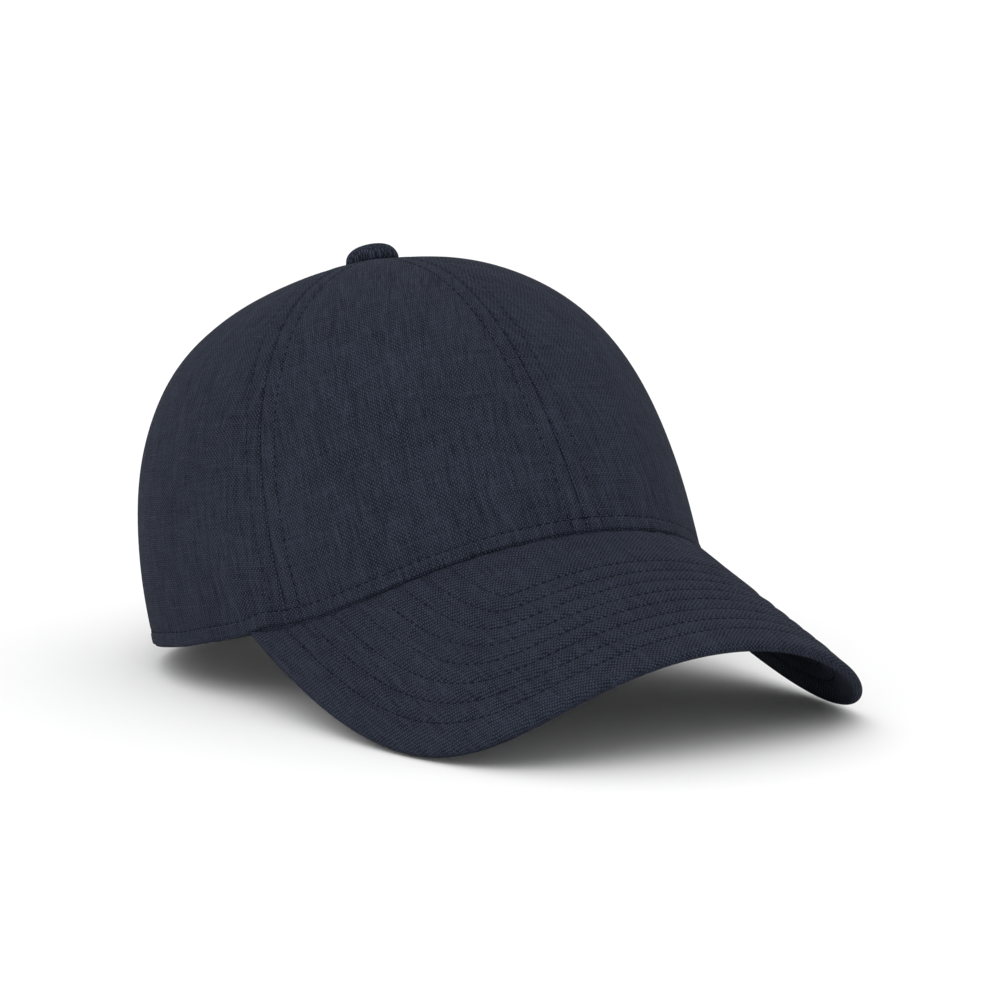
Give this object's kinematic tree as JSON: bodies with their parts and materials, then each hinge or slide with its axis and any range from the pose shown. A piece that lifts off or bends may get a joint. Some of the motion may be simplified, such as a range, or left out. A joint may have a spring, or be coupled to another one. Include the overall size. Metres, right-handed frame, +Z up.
{
  "type": "baseball cap",
  "caption": "Baseball cap with a rounded stitched cloth crown, a curved visor, a covered top button and a back opening closed by an adjustable strap and clamp buckle.",
  "frame": {"origin": "under the middle of the whole cap, on the table it stands on", "axes": "+Z up as the cap rests on a table, visor towards -Y, the wearer's right towards -X"},
  "size_m": [0.166, 0.269, 0.1339],
  "materials": {
    "crown_cloth": "matt plain weave with slubs",
    "visor_cloth": "matt plain weave with slubs",
    "strap_cloth": "matt plain weave",
    "seam_tape": "woven twill tape",
    "sweatband_cloth": "matt cotton twill",
    "buckram": "open stiffened weave",
    "label_cloth": "woven ribbon, blank",
    "board_plastic": "moulded sheet",
    "buckle_brass": "antiqued, satin",
    "tin_plate": "plain tinned steel"
  },
  "bodies": {
    "cap": {"crown_front_right": "crown_cloth", "crown_front_left": "crown_cloth", "crown_side_right": "crown_cloth", "crown_side_left": "crown_cloth", "crown_back_right": "crown_cloth", "crown_back_left": "crown_cloth", "front_stiffener_right": "buckram", "front_stiffener_left": "buckram", "side_seam_tape_right": "seam_tape", "side_seam_tape_left": "seam_tape", "back_seam_tape_right": "seam_tape", "back_seam_tape_left": "seam_tape", "front_centre_tape": "seam_tape", "back_centre_tape": "seam_tape", "arch_binding": "seam_tape", "sweatband": "sweatband_cloth", "care_label": "label_cloth", "visor_top_cover": "visor_cloth", "visor_board": "board_plastic", "visor_under_cover": "visor_cloth", "button_cover": "crown_cloth", "button_shell": "tin_plate", "button_post": "tin_plate", "button_washer": "tin_plate", "buckle_frame": "buckle_brass", "buckle_pin": "tin_plate", "buckle_tab": "strap_cloth"},
    "strap": {"back_strap": "strap_cloth"},
    "lever": {"buckle_lever": "buckle_brass"}
  },
  "joints": [
    {"name": "strap_slide", "type": "hinge", "parent": "cap", "child": "strap", "pos_m": [0, 0.05334, 0.03107], "axis": [0, 0.299, 0.9542], "range_deg": [-10, 10]},
    {"name": "lever_open", "type": "hinge", "parent": "cap", "child": "lever", "pos_m": [-0.02851, 0.12268, 0.01139], "axis": [0.0248, 0.2207, 0.975], "range_deg": [0, 110]}
  ]
}
